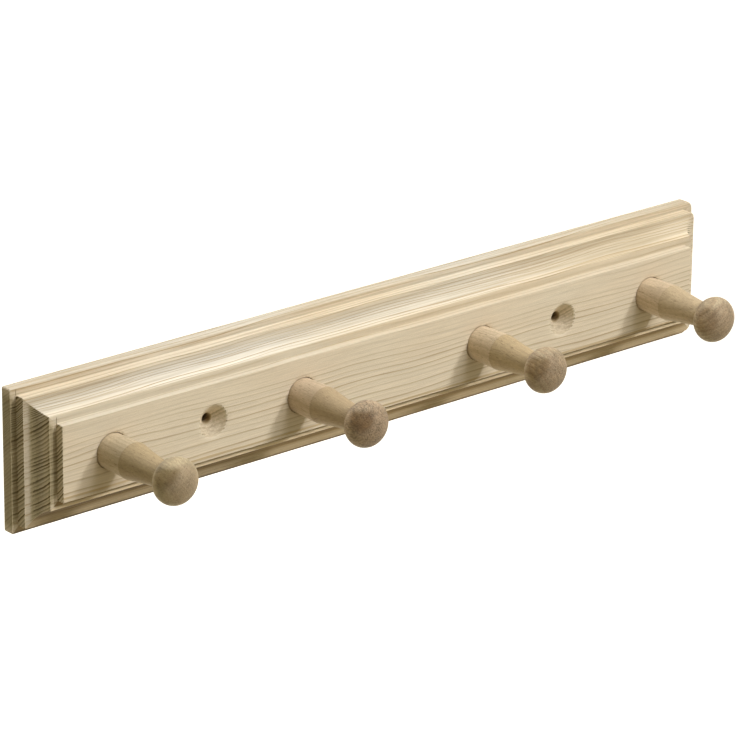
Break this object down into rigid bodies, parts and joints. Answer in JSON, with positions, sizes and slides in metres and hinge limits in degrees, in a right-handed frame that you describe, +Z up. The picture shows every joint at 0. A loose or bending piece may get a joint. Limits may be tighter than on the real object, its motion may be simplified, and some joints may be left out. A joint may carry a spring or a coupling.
{
  "type": "coat rack",
  "caption": "Wall coat rack: a moulded softwood board, stepped and coved on all four edges, with a row of turned wooden pegs and countersunk screw holes.",
  "frame": {"origin": "middle of the board's flat back face, which lies on the wall", "axes": "+X along the board to the right as seen from the room, +Y into the wall, +Z up; the pegs point along -Y"},
  "size_m": [0.42, 0.0774, 0.07],
  "materials": {
    "board_wood": "raw planed and routed pine, unfinished, fine fuzz on the end grain",
    "peg_wood": "raw turned beech, sanded, unfinished"
  },
  "bodies": {
    "root": {"backboard": "board_wood", "peg_left_outer": "peg_wood", "peg_left_inner": "peg_wood", "peg_right_inner": "peg_wood", "peg_right_outer": "peg_wood"}
  },
  "joints": []
}
